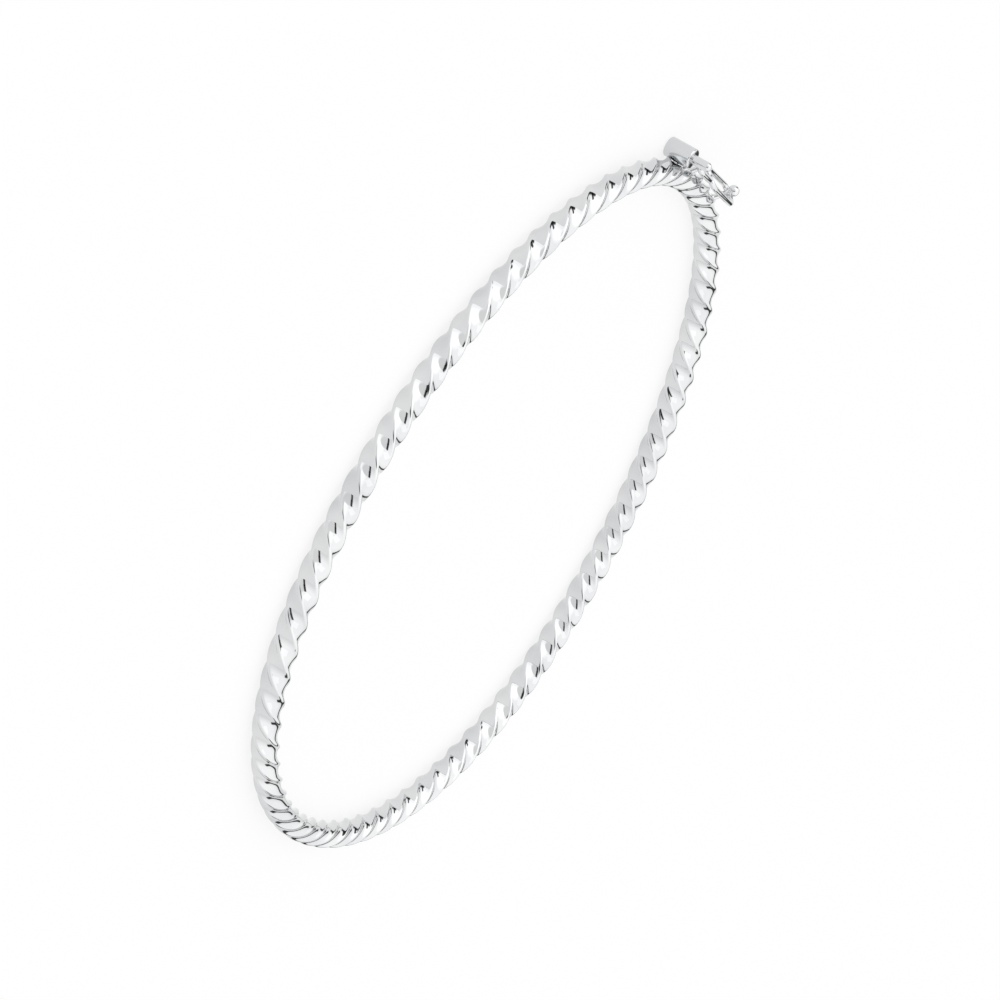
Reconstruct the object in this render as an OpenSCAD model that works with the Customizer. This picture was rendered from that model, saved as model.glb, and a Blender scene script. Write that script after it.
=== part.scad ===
// Twisted wire bangle: an oval hoop with one seam, closed by a tongue and a figure-eight safety.
// Millimetres. +Z is up as the bangle lies flat, -X is the catch, and Z = 0 is the surface.
// Along the wire, distance counts from the seam, positive towards the ball.

/* [Hoop] */
// Wrist opening from the catch to the far end
opening_length = 60.6; // [54:0.2:72]
// Wrist opening across
opening_width = 53; // [48:0.2:64]
// How much narrower the oval is at the catch, as a share of its width
catch_taper = 0.088; // [0:0.004:0.12]
// Squareness of the oval, where 2 is a true ellipse
oval_power = 2.07; // [2:0.01:2.2]
// Gap between the two ends of the wire
seam_gap = 0.12; // [0.08:0.02:0.2]

/* [Twisted wire] */
// Square wire, across its rounded edges
wire_d = 2.4; // [2.2:0.05:2.8]
// Radius of its four edges
edge_r = 0.3; // [0.26:0.02:0.34]
// Full turns of the twist round the hoop
twist_turns = 19; // [12:1:20]
// Mean turn of its edges at the seam
twist_phase = 50; // [0:5:85]
// Unevenness of the hand twist, as an added turn
twist_drift = 46; // [0:2:60]
// Distance from the seam where that added turn is greatest
drift_arc = 15; // [0:5:40]

/* [Tongue] */
// Tongue across, along Z
tongue_w = 0.8; // [0.6:0.05:0.9]
// Tongue thickness, towards the wrist
tongue_t = 0.5; // [0.4:0.05:0.6]
// Depth of the tongue's root in the ball end
root_depth = 2.3; // [1.6:0.1:2.6]
// Reach of the tongue past the seam
tongue_reach = 4.4; // [4.2:0.1:4.8]
// Clearance round the tongue and its thumb bar
tongue_clearance = 0.08; // [0.05:0.01:0.1]

/* [Thumb bar] */
// Thumb bar diameter
bar_d = 1.8; // [1.7:0.05:2]
// Thumb bar length
bar_l = 2.5; // [2:0.05:2.55]
// Distance of the thumb bar from the seam
bar_arc = 3.7; // [3.65:0.05:4.1]
// Height of the thumb bar's axis above the wire's centre line
bar_rise = 1.88; // [1.8:0.02:2]
// Raise of the thumb bar above the middle of the wire
bar_lift = 0.12; // [0.11:0.01:0.2]
// Stem that carries the thumb bar, across
stem_w = 0.4; // [0.3:0.05:0.5]
// Round pin at the bar's upper end, diameter
pin_d = 0.85; // [0.5:0.05:0.9]
// Length of the pin that stands out of the bar
pin_l = 1.8; // [1:0.1:2]

/* [Eye and ball] */
// Angle of the safety's side of the wire, from outwards to upwards
shoulder = 41; // [40:1:48]
// Distance of the eye from the seam
eye_arc = 1.9; // [1.7:0.05:2]
// Height of the safety's pivot above the wire's centre line
pivot_rise = 2; // [1.95:0.05:2.2]
// Wire of the eye
eye_wire_d = 0.4; // [0.3:0.05:0.45]
// Distance of the ball from the seam
ball_arc = 5.8; // [5.2:0.05:6]
// Ball diameter
ball_d = 1; // [0.8:0.05:1.05]
// Height of the ball's centre above the wire's centre line
ball_rise = 2.87; // [2.85:0.01:3.1]
// Post under the ball, diameter
post_d = 0.5; // [0.4:0.05:0.6]

/* [Figure-eight safety] */
// Wire of the safety
safety_wire_d = 0.52; // [0.4:0.02:0.56]
// Height of the safety above the wire's centre line at the post
safety_rise = 2.22; // [2.1:0.02:2.3]
// Large loop across, between wire centres
big_loop_w = 1.86; // [1.62:0.02:1.9]
// Small loop across, between wire centres
small_loop_w = 1.08; // [1.04:0.02:1.3]
// Small loop's length, between wire centres
small_loop_l = 3; // [2.4:0.1:3.4]
// Reach of the large loop past the post
loop_overshoot = 0.96; // [0.94:0.02:1.2]
// Clearance of the safety in its eye
eye_clearance = 0.09; // [0.05:0.01:0.12]

/* [Hidden] */
$fn = 48;
silver = [0.86, 0.87, 0.88];
edges = 4;
rings_per_turn = 14;
wire_r = wire_d / 2;
long_r = opening_length / 2 + wire_r;
short_r = opening_width / 2 + wire_r;

// Centre line of the hoop at a turn from the catch
function hoop_share(turn) = pow(pow(abs(cos(turn)), oval_power) + pow(abs(sin(turn)), oval_power), -1 / oval_power);
function hoop_along(turn) = hoop_share(turn) * cos(turn);
function hoop_across(turn) = hoop_share(turn) * sin(turn) * (1 - catch_taper * hoop_along(turn));
function hoop_point(turn) = [-long_r * hoop_along(turn), short_r * hoop_across(turn), wire_r];

// Distance along the wire, worked out in small steps from the catch
turn_step = 0.5;
steps = 360 / turn_step;
distance_table = [
    for (i = 0, run = 0; i <= steps;
        run = run + norm(hoop_point((i + 1) * turn_step) - hoop_point(i * turn_step)), i = i + 1)
        [run, i * turn_step]
];
hoop_length = distance_table[steps][0];
function turn_at(arc) = sign(arc) * lookup(abs(arc), distance_table);

// Unit vectors on the wire: along it, outwards, and at an angle from outwards to upwards
tangent_step = 0.05;
function unit(v) = v / norm(v);
function wire_point(arc) = hoop_point(turn_at(arc));
function along_at(arc) = unit(
    hoop_point(turn_at(arc) + tangent_step) - hoop_point(turn_at(arc) - tangent_step));
function outward_at(arc) = let (along = along_at(arc)) [-along[1], along[0], 0];
function shoulder_at(arc, angle) = cos(angle) * outward_at(arc) + [0, 0, sin(angle)];
function above_wire(arc, angle, rise) = wire_point(arc) + rise * shoulder_at(arc, angle);
function outward_heading(arc) = atan2(outward_at(arc)[1], outward_at(arc)[0]);

// Section of the square wire: for each edge, points where its arc starts, peaks and ends, and
// the middle of the flat side, as an angle and a radius
half_side = 180 / edges;
edge_centre = wire_r - edge_r;
arc_end = atan2(edge_r * sin(half_side), edge_centre + edge_r * cos(half_side));
function arc_radius(angle) =
    edge_centre * cos(angle) + sqrt(pow(edge_r, 2) - pow(edge_centre * sin(angle), 2));
section = [
    for (edge = [0:edges - 1], corner = [
        [-arc_end, arc_radius(arc_end)],
        [0, wire_r],
        [arc_end, arc_radius(arc_end)],
        [half_side, edge_centre * cos(half_side) + edge_r]
    ])
        [2 * half_side * edge + corner[0], corner[1]]
];
sides = len(section);
function twist_at(arc) = twist_phase - 360 * twist_turns * arc / hoop_length
    + twist_drift * cos(360 * (arc - drift_arc) / hoop_length);

// The wire as one swept solid, its points turning with the edges
rings = round(twist_turns * rings_per_turn);
ring_points = [
    for (i = [0:rings])
        let (arc = seam_gap / 2 + i * (hoop_length - seam_gap) / rings)
        for (corner = section)
            above_wire(arc, corner[0] + twist_at(arc), corner[1])
];
last_ring = rings * sides;
ball_end = len(ring_points);
near_end = ball_end + 1;
wire_points = concat(ring_points, [wire_point(seam_gap / 2), wire_point(hoop_length - seam_gap / 2)]);
wire_faces = concat(
    [for (j = [0:sides - 1]) [j, (j + 1) % sides, ball_end]],
    [for (i = [0:rings - 1], j = [0:sides - 1])
        [i * sides + j, (i + 1) * sides + j, (i + 1) * sides + (j + 1) % sides]],
    [for (i = [0:rings - 1], j = [0:sides - 1])
        [i * sides + j, (i + 1) * sides + (j + 1) % sides, i * sides + (j + 1) % sides]],
    [for (j = [0:sides - 1]) [last_ring + (j + 1) % sides, last_ring + j, near_end]]
);

// Safety: its line from the pivot to the post, and the loops' lengths
pivot = above_wire(-eye_arc, shoulder, pivot_rise);
post_pass = above_wire(ball_arc, shoulder, safety_rise);
safety_along = unit(post_pass - pivot);
safety_side = unit(cross(shoulder_at((ball_arc - eye_arc) / 2, shoulder), safety_along));
safety_up = cross(safety_along, safety_side);
safety_l = norm(post_pass - pivot) + loop_overshoot;
big_loop_l = safety_l - small_loop_l;

// Eye: a staple whose round top leaves room for the safety's wire
eye_r = (safety_wire_d + eye_wire_d) / 2 + eye_clearance;
eye_leg_l = pivot_rise - wire_r / 2;

bar_r = bar_d / 2;
stem_foot = 0;
slot_top = wire_d;

// Places children above the wire: X outwards at the angle, Y towards the near arm, Z across
module above(arc, angle = 0, rise = 0) {
    translate(wire_point(arc))
        rotate([0, 0, outward_heading(arc)])
            rotate([0, -angle, 0])
                translate([rise, 0, 0])
                    children();
}

// Box along the wire from one distance to another, measured straight from the seam
module seam_box(from, to, inner, outer, width) {
    above(0)
        translate([inner, -to, -width / 2])
            cube([outer - inner, to - from, width]);
}

module thumb_bar(extra = 0) {
    above(-bar_arc, 0, bar_rise)
        translate([0, 0, bar_lift - bar_l / 2 - extra])
            cylinder(h = bar_l + 2 * extra, d = bar_d + 2 * extra);
}

module sockets() {
    c = tongue_clearance;
    half = tongue_t / 2 + c;
    seam_box(-tongue_reach - c, root_depth, -half, half, tongue_w + 2 * c);
    seam_box(-bar_arc - stem_w / 2 - c, 0, 0, slot_top, stem_w + 2 * c);
    thumb_bar(c);
}

// Places children at the safety's pivot: X along the safety, Y along the pivot's axis, Z off the wire
module at_pivot() {
    multmatrix([
        [safety_along[0], safety_side[0], safety_up[0], pivot[0]],
        [safety_along[1], safety_side[1], safety_up[1], pivot[1]],
        [safety_along[2], safety_side[2], safety_up[2], pivot[2]]
    ])
        children();
}

module eye() {
    at_pivot() {
        rotate([90, 0, 0])
            rotate_extrude(angle = 180)
                translate([eye_r, 0])
                    circle(d = eye_wire_d);
        for (side = [-1, 1])
            translate([side * eye_r, 0, -eye_leg_l])
                cylinder(h = eye_leg_l, d = eye_wire_d);
    }
}

module ball_post() {
    above(ball_arc, shoulder, 0) {
        rotate([0, 90, 0])
            cylinder(h = ball_rise, d = post_d);
        translate([ball_rise, 0, 0])
            sphere(d = ball_d);
    }
}

module twisted_wire() {
    color(silver)
        difference() {
            union() {
                polyhedron(wire_points, wire_faces);
                eye();
                ball_post();
            }
            sockets();
        }
}

module catch_tongue() {
    color(silver) {
        seam_box(-tongue_reach, root_depth, -tongue_t / 2, tongue_t / 2, tongue_w);
        seam_box(-bar_arc - stem_w / 2, -bar_arc + stem_w / 2, stem_foot, bar_rise, stem_w);
        thumb_bar();
        above(-bar_arc, 0, bar_rise) {
            cylinder(h = bar_lift + bar_l / 2 + pin_l - pin_d / 2, d = pin_d);
            translate([0, 0, bar_lift + bar_l / 2 + pin_l - pin_d / 2])
                sphere(d = pin_d);
        }
    }
}

// Loop of wire in the XY plane from X = 0, with straight sides and round ends
module loop(length, width, wire) {
    r = width / 2;
    for (end = [0, 1])
        translate([end == 0 ? r : length - r, 0, 0])
            rotate([0, 0, end == 0 ? 90 : -90])
                rotate_extrude(angle = 180)
                    translate([r, 0])
                        circle(d = wire);
    for (side = [-1, 1])
        translate([r, side * r, 0])
            rotate([0, 90, 0])
                cylinder(h = length - width, d = wire);
}

module safety_catch() {
    color(silver)
        at_pivot() {
            loop(small_loop_l, small_loop_w, safety_wire_d);
            translate([small_loop_l, 0, 0])
                loop(big_loop_l, big_loop_w, safety_wire_d);
        }
}

twisted_wire();
catch_tongue();
safety_catch();
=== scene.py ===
import math

import bmesh
import bpy
import numpy as np
from mathutils import Matrix, Vector


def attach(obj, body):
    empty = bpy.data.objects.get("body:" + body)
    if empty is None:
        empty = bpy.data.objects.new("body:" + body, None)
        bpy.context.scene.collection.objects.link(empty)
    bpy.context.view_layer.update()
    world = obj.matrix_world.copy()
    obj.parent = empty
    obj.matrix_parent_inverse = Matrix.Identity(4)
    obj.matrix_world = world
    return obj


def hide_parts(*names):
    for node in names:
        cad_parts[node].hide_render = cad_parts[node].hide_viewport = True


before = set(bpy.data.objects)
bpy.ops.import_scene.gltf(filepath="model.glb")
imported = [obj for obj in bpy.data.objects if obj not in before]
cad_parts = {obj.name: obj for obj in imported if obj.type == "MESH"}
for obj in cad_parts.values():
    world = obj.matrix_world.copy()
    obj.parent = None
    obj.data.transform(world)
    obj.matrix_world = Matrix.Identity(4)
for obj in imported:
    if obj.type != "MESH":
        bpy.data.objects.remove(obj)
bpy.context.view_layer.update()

# Twisted wire. A square silver wire with eased edges is twisted left-handed by hand, bent to
# an oval and polished. Its two ends meet at the catch.
# Sizes are in millimetres, and distance along the wire counts from the seam.
MM = 0.001
opening_length = 60.6
opening_width = 53.0
catch_taper = 0.088
oval_power = 2.07
seam_gap = 0.12
wire_r = 1.2
edge_r = 0.3
edges = 4
twist_turns = 19
twist_phase = 50
twist_drift = 46
drift_arc = 15
# Small tremors of the hand twist, each as degrees and waves round the hoop.
tremor_waves = [(1.4, 23), (1.0, 41)]
turn_step = 0.25
rings_per_turn = 44
points_per_side = 22
# Above 1, points round the wire lie closer together on its edges, where it curves most.
edge_crowding = 1.7

long_r = opening_length / 2 + wire_r
short_r = opening_width / 2 + wire_r
half_side = 180 / edges
edge_centre = wire_r - edge_r
side_rise = edge_centre * math.cos(math.radians(half_side)) + edge_r
arc_end = math.degrees(math.atan2(edge_r * math.sin(math.radians(half_side)),
                                  edge_centre + edge_r * math.cos(math.radians(half_side))))


def hoop_point(turn):
    """Centre line of the hoop at a turn in degrees from the catch."""
    c, s = np.cos(np.radians(turn)), np.sin(np.radians(turn))
    share = (np.abs(c) ** oval_power + np.abs(s) ** oval_power) ** (-1 / oval_power)
    along, across = share * c, share * s * (1 - catch_taper * share * c)
    return np.stack([-long_r * along, short_r * across, wire_r + 0 * c], axis=-1)


turns = np.arange(0, 360 + turn_step, turn_step)
steps = np.linalg.norm(np.diff(hoop_point(turns), axis=0), axis=1)
run = np.concatenate([[0], np.cumsum(steps)])
hoop_length = run[-1]


def wire_point(arc):
    """Centre of the wire at a distance from the seam, positive towards the ball."""
    arc = np.asarray(arc, float)
    return hoop_point(np.sign(arc) * np.interp(np.abs(arc), run, turns))


def outward_at(arc):
    """Unit vector on the wire that points away from the wrist."""
    step = 0.02
    along = wire_point(np.asarray(arc) + step) - wire_point(np.asarray(arc) - step)
    along /= np.linalg.norm(along, axis=-1, keepdims=True)
    return np.stack([-along[..., 1], along[..., 0], 0 * along[..., 0]], axis=-1)


def section_radius(angle):
    """Radius of the square section at an angle in degrees from the top of one of its edges."""
    off_edge = np.abs((np.asarray(angle) + half_side) % (2 * half_side) - half_side)
    on_arc = np.radians(np.minimum(off_edge, arc_end))
    aside = edge_centre * np.sin(on_arc)
    rounded = edge_centre * np.cos(on_arc) + np.sqrt(edge_r ** 2 - aside ** 2)
    flat = side_rise / np.cos(np.radians(half_side - off_edge))
    return np.where(off_edge < arc_end, rounded, flat)


def twist_at(arc):
    """Turn of the wire's edges in degrees, which drifts and trembles a little round the hoop."""
    even = twist_phase - 360 * twist_turns * arc / hoop_length
    drift = twist_drift * np.cos(2 * np.pi * (arc - drift_arc) / hoop_length)
    tremor = sum(size * np.sin(2 * np.pi * waves * arc / hoop_length)
                 for size, waves in tremor_waves)
    return even + drift + tremor


def crisp(mesh, sharp_deg):
    """Smooth faces, with edges that turn by more than an angle left sharp."""
    work = bmesh.new()
    work.from_mesh(mesh)
    bmesh.ops.recalc_face_normals(work, faces=work.faces)
    for face in work.faces:
        face.smooth = True
    for edge in work.edges:
        edge.smooth = edge.calc_face_angle(0) < math.radians(sharp_deg)
    work.to_mesh(mesh)
    work.free()


def mesh_piece(name, shape, place=None, sharp_deg=40):
    """A piece from a shape's points, in millimetres, and faces, moved to a place."""
    points, faces = shape
    if place is not None:
        points = [place @ Vector(p) for p in points]
    mesh = bpy.data.meshes.new(name)
    mesh.from_pydata([tuple(p) for p in np.asarray(points) * MM], [], faces)
    piece = bpy.data.objects.new(name, mesh)
    bpy.context.scene.collection.objects.link(piece)
    crisp(mesh, sharp_deg)
    return piece


def skin(rings, closed_run=False):
    """Points and faces of a skin over rings of points. An open run is capped at both ends."""
    rings = np.asarray(rings)
    count, sides = rings.shape[:2]
    faces = []
    for i in range(count if closed_run else count - 1):
        low, high = i * sides, (i + 1) % count * sides
        faces += [(low + j, low + (j + 1) % sides, high + (j + 1) % sides, high + j)
                  for j in range(sides)]
    if not closed_run:
        faces += [tuple(range(sides)), tuple(range((count - 1) * sides, count * sides))[::-1]]
    return rings.reshape(-1, 3), faces


on_side = np.arange(points_per_side) / points_per_side * 2 - 1
side_angles = half_side * np.sign(on_side) * np.abs(on_side) ** edge_crowding
around = np.concatenate([side_angles + 2 * half_side * k for k in range(edges)])
arcs = np.linspace(seam_gap / 2, hoop_length - seam_gap / 2, twist_turns * rings_per_turn + 1)
centre, outward = wire_point(arcs)[:, None], outward_at(arcs)[:, None]
turned = np.radians(around[None, :] + twist_at(arcs)[:, None])[..., None]
spoke = np.cos(turned) * outward + np.sin(turned) * np.array([0, 0, 1.0])
wire_rings = centre + section_radius(around)[None, :, None] * spoke
wire_sharp_deg = 60
hoop = mesh_piece("hoop_wire", skin(wire_rings), sharp_deg=wire_sharp_deg)


def on_wire(arc, angle=0.0, rise=0.0):
    """Place on the wire: X outwards at an angle towards up, Y towards the near arm, Z across."""
    out = Vector(outward_at(arc))
    up = Vector((0, 0, 1))
    a = math.radians(angle)
    x, z = math.cos(a) * out + math.sin(a) * up, math.cos(a) * up - math.sin(a) * out
    place = Matrix((x, up.cross(out), z)).transposed().to_4x4()
    place.translation = Vector(wire_point(arc)) + rise * x
    return place


def box(low, high):
    """Points and faces of a box."""
    points = [(x, y, z) for x in (low[0], high[0])
              for y in (low[1], high[1]) for z in (low[2], high[2])]
    faces = [(0, 1, 3, 2), (4, 6, 7, 5), (0, 4, 5, 1), (2, 3, 7, 6), (0, 2, 6, 4), (1, 5, 7, 3)]
    return points, faces


def turned_shape(profile, sides):
    """Points and faces of a shape turned round Z from (radius, height) pairs."""
    turn = np.arange(sides) * 2 * np.pi / sides
    return skin([np.stack([r * np.cos(turn), r * np.sin(turn), h + 0 * turn], axis=-1)
                 for r, h in profile])


def cut_away(piece, shape, place):
    """Cuts a shape that stands at a place out of a piece."""
    cutter = mesh_piece("cutter", shape, place)
    cut = piece.modifiers.new("cut", "BOOLEAN")
    cut.operation, cut.solver, cut.object = "DIFFERENCE", "EXACT", cutter
    bpy.context.view_layer.update()
    evaluated = piece.evaluated_get(bpy.context.evaluated_depsgraph_get())
    after = bpy.data.meshes.new_from_object(evaluated)
    piece.modifiers.remove(cut)
    before, piece.data = piece.data, after
    bpy.data.meshes.remove(before)
    bpy.data.objects.remove(cutter)


# Slots that are cut in the wire's ends for the tongue, its stem and the thumb bar.
tongue_w, tongue_t, root_depth, tongue_reach = 0.8, 0.5, 2.3, 4.4
bar_d, bar_l, bar_arc, bar_rise, bar_lift = 1.8, 2.5, 3.7, 1.88, 0.12
stem_w = 0.4
clearance = 0.08
seat_sides = 64
half_slot_w = tongue_w / 2 + clearance
half_slot_t = tongue_t / 2 + clearance
half_stem_slot = stem_w / 2 + clearance
slot_top = 2 * wire_r
seat_r = bar_d / 2 + clearance
half_seat_l = bar_l / 2 + clearance
cut_away(hoop, box((-half_slot_t, -root_depth, -half_slot_w),
                   (half_slot_t, tongue_reach + clearance, half_slot_w)), on_wire(0))
cut_away(hoop, box((0, 0, -half_stem_slot),
                   (slot_top, bar_arc + half_stem_slot, half_stem_slot)), on_wire(0))
cut_away(hoop, turned_shape([(seat_r, bar_lift - half_seat_l), (seat_r, bar_lift + half_seat_l)],
                            seat_sides), on_wire(-bar_arc, 0, bar_rise))
crisp(hoop.data, wire_sharp_deg)


class Shade:
    """A shader socket or number, so that masks are written as sums and products."""

    def __init__(self, tree, value):
        self.tree, self.value = tree, value

    def node(self, kind, settings=None, inputs=None, output=0):
        """The output of a new node with these settings, and values or links in its sockets."""
        made = self.tree.nodes.new(kind)
        for name, value in (settings or {}).items():
            if name == "stops":
                stops = made.color_ramp.elements
                for i, (position, level) in enumerate(value):
                    stop = stops[i] if i < len(stops) else stops.new(position)
                    stop.position, stop.color = position, (level, level, level, 1)
            else:
                setattr(made, name, value)
        for key, value in (inputs or {}).items():
            if isinstance(value, Shade):
                value = value.value
            if isinstance(value, bpy.types.NodeSocket):
                self.tree.links.new(value, made.inputs[key])
            else:
                made.inputs[key].default_value = value
        return Shade(self.tree, made.outputs[output])

    def math(self, operation, *values):
        return self.node("ShaderNodeMath", {"operation": operation}, dict(enumerate(values)))

    def __add__(self, other):
        return self.math("ADD", self, other)

    def __sub__(self, other):
        return self.math("SUBTRACT", self, other)

    def __rsub__(self, other):
        return self.math("SUBTRACT", other, self)

    def __mul__(self, other):
        return self.math("MULTIPLY", self, other)

    __radd__, __rmul__ = __add__, __mul__

    def size(self):
        """The value without its sign."""
        return self.math("ABSOLUTE", self)

    def ramp(self, *stops):
        """The value taken from one level to another between places."""
        return self.node("ShaderNodeValToRGB", {"stops": stops}, {0: self})

    def mix(self, low, high):
        """One colour where this is 0 and the other where it is 1."""
        # The colour sockets go by number, because their names come more than once.
        inputs = {0: self, 6: low, 7: high}
        return self.node("ShaderNodeMix", {"data_type": "RGBA"}, inputs, output=2)


bright_silver = (0.72, 0.725, 0.73, 1)
soft_silver = (0.65, 0.66, 0.67, 1)
# Scales of the dull patches, the mop's waves and its hairlines, in features per metre.
patch_scale, wave_scale, hairline_scale = 260, 620, 9000
patch_fade = ((0.4, 0), (0.65, 1))
polish_rough, patch_rough = 0.035, 0.05
wave_depth, wave_strength, hairline_share = 0.03 * MM, 0.5, 0.04


def polished_silver(name):
    """Mirror-polished silver with faint patches, waves and hairlines from the mop."""
    material = bpy.data.materials.new(name)
    material.use_nodes = True
    tree = material.node_tree
    surface = tree.nodes["Principled BSDF"].inputs
    start = Shade(tree, 0)
    spot = start.node("ShaderNodeTexCoord", output="Object")

    def noise(scale, detail):
        inputs = {"Vector": spot, "Scale": scale, "Detail": detail}
        return start.node("ShaderNodeTexNoise", inputs=inputs)

    patches = noise(patch_scale, 2).ramp(*patch_fade)
    marks = noise(wave_scale, 1) + hairline_share * noise(hairline_scale, 1)
    bump = start.node("ShaderNodeBump", inputs={
        "Strength": wave_strength, "Distance": wave_depth, "Height": marks})
    tree.links.new(patches.mix(bright_silver, soft_silver).value, surface["Base Color"])
    tree.links.new((polish_rough + patch_rough * patches).value, surface["Roughness"])
    tree.links.new(bump.value, surface["Normal"])
    surface["Metallic"].default_value = 1
    return material


wire_silver = polished_silver("wire_silver")


def dress(piece, material, body, *nodes):
    """Gives a piece its metal, the body it rides on and the CAD nodes it stands for."""
    piece.data.materials.clear()
    piece.data.materials.append(material)
    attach(piece, body)
    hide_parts(*nodes)


dress(hoop, wire_silver, "bangle", "twisted_wire")

# Ball. A turned silver ball on a short post, soldered to the wire's outer shoulder on the far
# arm, with a small fillet of solder round the foot. The safety's big loop goes round the post.
catch_silver = polished_silver("catch_silver")
shoulder = 41
ball_arc, ball_d, ball_rise, post_d = 5.8, 1.0, 2.87, 0.5
solder_spread = 0.22
ball_sides, ball_rings = 40, 22
# The ball stops short of its pole by this angle in radians, so that its cap has an area.
pole_gap = 0.03
ball_r, post_r = ball_d / 2, post_d / 2
neck_angle = math.asin(post_r / ball_r)
quarter = np.linspace(0, math.pi / 2, 7)
post_and_ball = [(post_r + solder_spread * (1 - math.sin(a)),
                  wire_r - solder_spread * math.cos(a)) for a in quarter]
post_and_ball += [(ball_r * math.sin(a), ball_rise - ball_r * math.cos(a))
                  for a in np.linspace(neck_angle, math.pi - pole_gap, ball_rings)]
turned_outwards = Matrix.Rotation(math.radians(90), 4, "Y")
ball = mesh_piece("safety_ball", turned_shape(post_and_ball, ball_sides),
                  on_wire(ball_arc, shoulder) @ turned_outwards)
dress(ball, catch_silver, "bangle", "twisted_wire")

# Eye. A staple of thin round wire, soldered by both legs to the near arm's shoulder. The
# safety's small loop hangs in it and turns about its bow.
eye_arc, pivot_rise, eye_wire_d, eye_clearance = 1.9, 2.0, 0.4, 0.09
safety_wire_d, safety_rise = 0.52, 2.22
bow_points, wire_sides = 33, 24
eye_r = (safety_wire_d + eye_wire_d) / 2 + eye_clearance
eye_leg = pivot_rise - wire_r / 2
pivot = on_wire(-eye_arc, shoulder, pivot_rise).translation
post_pass = on_wire(ball_arc, shoulder, safety_rise).translation
safety_along = (post_pass - pivot).normalized()
middle = on_wire((ball_arc - eye_arc) / 2, shoulder).to_3x3().col[0]
safety_side = middle.cross(safety_along).normalized()
safety_up = safety_along.cross(safety_side)
at_pivot = Matrix((safety_along, safety_side, safety_up)).transposed().to_4x4()
at_pivot.translation = pivot


def round_wire(path, normal, radius, closed):
    """Points and faces of a round wire along a flat path."""
    path, normal = np.asarray(path, float), np.asarray(normal, float)
    if closed:
        ahead = np.roll(path, -1, axis=0) - np.roll(path, 1, axis=0)
    else:
        ahead = np.gradient(path, axis=0)
    ahead /= np.linalg.norm(ahead, axis=1, keepdims=True)
    across = np.cross(ahead, normal)
    turn = (np.arange(wire_sides) * 2 * np.pi / wire_sides)[None, :, None]
    rings = path[:, None] + radius * (np.cos(turn) * across[:, None] + np.sin(turn) * normal)
    return skin(rings, closed_run=closed)


bow = [(eye_r * math.cos(a), 0, eye_r * math.sin(a))
       for a in np.linspace(0, math.pi, bow_points)]
staple = [(eye_r, 0, -eye_leg)] + bow + [(-eye_r, 0, -eye_leg)]
staple_wire = round_wire(staple, (0, 1, 0), eye_wire_d / 2, closed=False)
eye = mesh_piece("safety_eye", staple_wire, at_pivot)
dress(eye, catch_silver, "bangle", "twisted_wire")

# Tongue and thumb bar. A flat strip of hard silver is soldered in the ball end and slides into
# the near arm. A stem carries the thumb bar that is pressed to free it. The bar is turned
# with rounded ends, and a round-ended pin stands out of its upper end.
pin_d, pin_l = 0.85, 1.8
bar_edge, strip_edge = 0.12, 0.05
bar_sides, pin_rings = 56, 12
bar_foot_r, pin_pole_gap = 0.02, 0.05
strip_sharp_deg, bar_sharp_deg = 60, 50


def eased_box(low, high, edge):
    """Points and faces of a box with rounded edges."""
    work = bmesh.new()
    points, faces = box(low, high)
    corners = [work.verts.new(p) for p in points]
    for face in faces:
        work.faces.new([corners[i] for i in face])
    bmesh.ops.bevel(work, geom=work.edges[:], offset=edge, segments=3, profile=0.5,
                    affect="EDGES")
    work.verts.index_update()
    points = [v.co.copy() for v in work.verts]
    faces = [tuple(v.index for v in f.verts) for f in work.faces]
    work.free()
    return points, faces


strip_box = eased_box((-tongue_t / 2, -root_depth, -tongue_w / 2),
                      (tongue_t / 2, tongue_reach, tongue_w / 2), strip_edge)
strip = mesh_piece("tongue_strip", strip_box, on_wire(0), strip_sharp_deg)
stem_box = eased_box((0, bar_arc - stem_w / 2, -stem_w / 2),
                     (bar_rise, bar_arc + stem_w / 2, stem_w / 2), strip_edge)
stem = mesh_piece("thumb_bar_stem", stem_box, on_wire(0), strip_sharp_deg)
bar_r, pin_r = bar_d / 2, pin_d / 2
bar_flat_r = bar_r - bar_edge
low_end, high_end = bar_lift - bar_l / 2, bar_lift + bar_l / 2
pin_top = high_end + pin_l - pin_r
bar_and_pin = [(bar_foot_r, low_end)]
bar_and_pin += [(bar_flat_r + bar_edge * math.sin(a), low_end + bar_edge * (1 - math.cos(a)))
                for a in quarter]
bar_and_pin += [(bar_flat_r + bar_edge * math.cos(a), high_end - bar_edge * (1 - math.sin(a)))
                for a in quarter]
bar_and_pin += [(pin_r, high_end)]
bar_and_pin += [(pin_r * math.cos(a), pin_top + pin_r * math.sin(a))
                for a in np.linspace(0, math.pi / 2 - pin_pole_gap, pin_rings)]
thumb_bar = mesh_piece("thumb_bar", turned_shape(bar_and_pin, bar_sides),
                       on_wire(-bar_arc, 0, bar_rise), bar_sharp_deg)
for piece in (strip, stem, thumb_bar):
    dress(piece, catch_silver, "bangle", "catch_tongue")

# Safety. Two closed loops of round silver wire, soldered end to end as a figure eight. The
# small loop hangs in the eye, and the big one is pressed over the ball.
big_loop_w, small_loop_w, small_loop_l, loop_overshoot = 1.86, 1.08, 3.0, 0.96
big_loop_l = (post_pass - pivot).length + loop_overshoot - small_loop_l
loop_end_points = 29


def loop_path(near_end, length, width):
    """Centre line of a loop with straight sides and round ends, in the safety's plane."""
    r = width / 2
    path = []
    for x, first in ((near_end + length - r, -90), (near_end + r, 90)):
        for a in np.radians(np.linspace(first, first + 180, loop_end_points)):
            path.append((x + r * math.cos(a), r * math.sin(a), 0))
    return path


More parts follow.
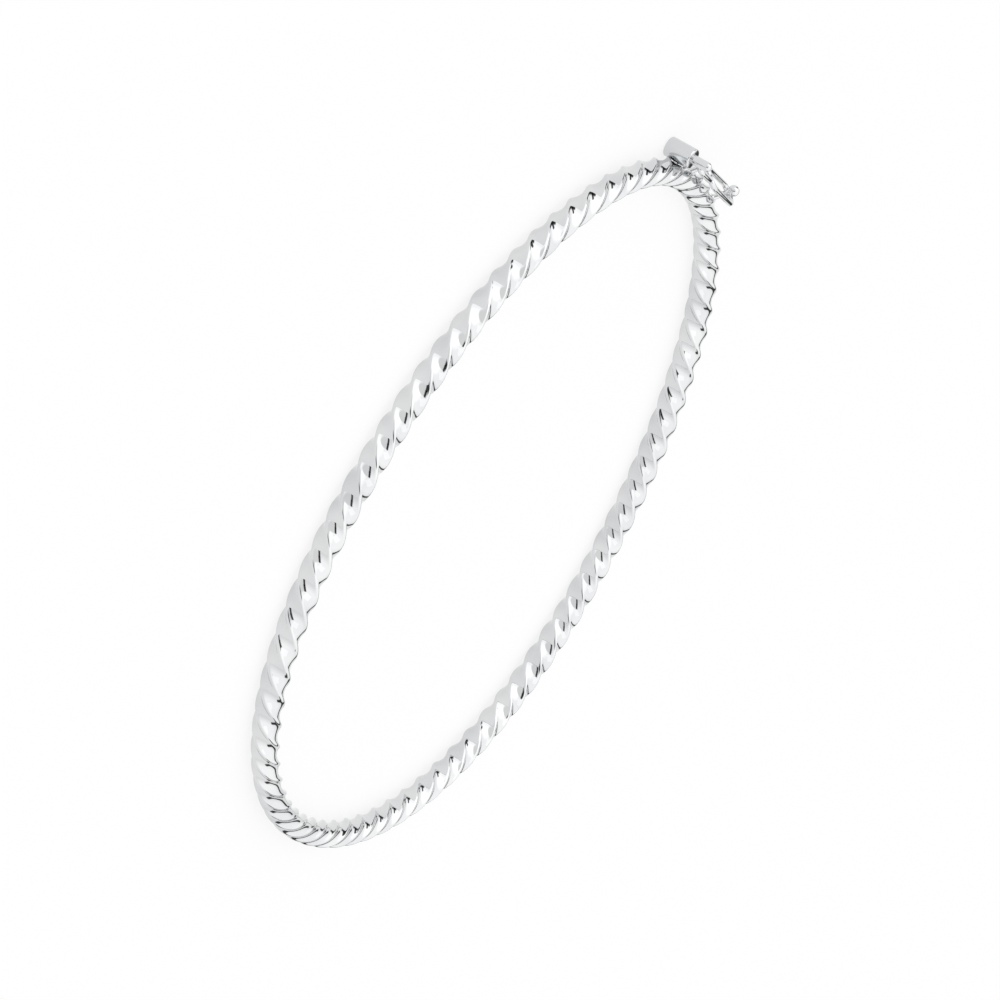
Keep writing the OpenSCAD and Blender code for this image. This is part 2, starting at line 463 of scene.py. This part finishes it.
for name, path in (("safety_small_loop", loop_path(0, small_loop_l, small_loop_w)),
                   ("safety_big_loop", loop_path(small_loop_l, big_loop_l, big_loop_w))):
    loop_wire = round_wire(path, (0, 0, 1), safety_wire_d / 2, closed=True)
    loop = mesh_piece(name, loop_wire, at_pivot)
    dress(loop, catch_silver, "safety", "safety_catch")

# Table. A plain white surface that the bangle lies on. Most of its white is a glow of its own,
# so that the bangle's shadow on it stays faint.
table_half = 3.0
table_corners = [(-table_half, -table_half, 0), (table_half, -table_half, 0),
                 (table_half, table_half, 0), (-table_half, table_half, 0)]
table_mesh = bpy.data.meshes.new("table")
table_mesh.from_pydata(table_corners, [], [(0, 1, 2, 3)])
table = bpy.data.objects.new("table", table_mesh)
bpy.context.scene.collection.objects.link(table)
pale = bpy.data.materials.new("pale_surface")
pale.use_nodes = True
paper = pale.node_tree.nodes["Principled BSDF"].inputs
paper["Base Color"].default_value = (0.16, 0.16, 0.16, 1)
paper["Roughness"].default_value = 0.9
paper["Specular IOR Level"].default_value = 0
paper["Emission Color"].default_value = (1, 1, 1, 1)
paper["Emission Strength"].default_value = 0.81
table.data.materials.append(pale)

# Light. A white tent all round the bangle, brightest on its left and grey behind the camera.
# Thin dark rods stand in it, and their reflections draw the black strokes on the silver.
# Places in the tent are an azimuth, where 0 is +Y and 90 is +X, and an elevation, in degrees.
tent_level, overhead_gain, window_gain, behind_level = 0.95, 0.3, 0.36, 0.9
window_place, behind_place = (-105, 18), (-170, 30)
overhead_fade = ((0.15, 0), (0.7, 1))
window_fade = ((0.45, 0), (0.8, 1))
behind_fade = ((0.86, 0), (0.92, 1))
# Each rod hangs from one place to another, and its half width is in degrees.
dark_rods = [
    ((168, -4), (167, 30), 5.5),
    ((168, 26), (164, 56), 6),
    ((-34, 16), (44, 14), 5),
    ((44, 10), (66, 26), 7),
    ((-46, 0), (-88, 4), 9),
    ((-66, 4), (-74, 26), 7),
]
rod_darkness, rod_core, rod_rim, rod_end_fade = 0.95, 0.7, 1.3, 0.01
world = bpy.data.worlds.new("tent")
bpy.context.scene.world = world
world.use_nodes = True
backdrop = world.node_tree.nodes["Background"]
sky = Shade(world.node_tree, 0)
direction = sky.node("ShaderNodeTexCoord", output="Generated")


def aim_at(azimuth, elevation):
    """Direction of a place in the tent."""
    a, e = math.radians(azimuth), math.radians(elevation)
    return Vector((math.sin(a) * math.cos(e), math.cos(a) * math.cos(e), math.sin(e)))


def along_direction(aim):
    """How far a direction points at an aim, 1 straight at it."""
    inputs = {0: direction, 1: tuple(aim)}
    return sky.node("ShaderNodeVectorMath", {"operation": "DOT_PRODUCT"}, inputs, "Value")


def rod(first, last, half_width):
    """1 on a straight rod that hangs in the tent from one place to another."""
    one, two = aim_at(*first), aim_at(*last)
    off_line = along_direction(one.cross(two).normalized()).size()
    width = math.sin(math.radians(half_width))
    beside = off_line.ramp((width * rod_core, 1), (width * rod_rim, 0))
    half_length = math.cos(one.angle(two) / 2)
    near_middle = along_direction((one + two).normalized())
    between = near_middle.ramp((half_length - rod_end_fade, 0), (half_length, 1))
    return beside * between


rise = sky.node("ShaderNodeSeparateXYZ", inputs={0: direction}, output="Z")
overhead = rise.ramp(*overhead_fade)
window = along_direction(aim_at(*window_place)).ramp(*window_fade)
behind = along_direction(aim_at(*behind_place)).ramp(*behind_fade)
tent = tent_level + overhead_gain * overhead + window_gain * window
tent = tent * (1 - behind) + behind_level * behind
for first, last, half_width in dark_rods:
    tent = tent * (1 - rod_darkness * rod(first, last, half_width))
world.node_tree.links.new(tent.value, backdrop.inputs["Color"])

top_lamp = bpy.data.lights.new("top_lamp", "AREA")
top_lamp.shape, top_lamp.size, top_lamp.energy = "SQUARE", 0.5, 0.1
lamp = bpy.data.objects.new("top_lamp", top_lamp)
lamp.location = (0.15, -0.1, 0.8)
lamp.rotation_euler = (-lamp.location).to_track_quat("-Z", "Y").to_euler()
bpy.context.scene.collection.objects.link(lamp)

# Camera. It looks down on the lying hoop from the long side, rolled so that the catch is at
# the upper right of the picture.
view_turn, view_drop, view_roll, view_distance = 1.54, 21.6, 120.55, 488.31
frame_px, focal_px, middle_px = 1000, 5837.05, (496.5, 505.4)
sensor = 36
camera_data = bpy.data.cameras.new("camera")
camera_data.sensor_width = sensor
camera_data.lens = focal_px / frame_px * sensor
camera_data.shift_x = (frame_px / 2 - middle_px[0]) / frame_px
camera_data.shift_y = (middle_px[1] - frame_px / 2) / frame_px
camera_data.clip_start, camera_data.clip_end = 0.01, 20
camera = bpy.data.objects.new("camera", camera_data)
bpy.context.scene.collection.objects.link(camera)
turn, drop, roll = (math.radians(v) for v in (view_turn, view_drop, view_roll))
ahead = Vector((math.sin(turn) * math.cos(drop), math.cos(turn) * math.cos(drop),
                -math.sin(drop)))
level_right = Vector((math.cos(turn), -math.sin(turn), 0))
level_up = level_right.cross(ahead)
right = math.cos(roll) * level_right + math.sin(roll) * level_up
stand = Matrix((right, right.cross(ahead), -ahead)).transposed().to_4x4()
stand.translation = (Vector((0, 0, wire_r)) - view_distance * ahead) * MM
camera.matrix_world = stand
bpy.context.scene.camera = camera
bpy.context.scene.view_settings.view_transform = "Standard"
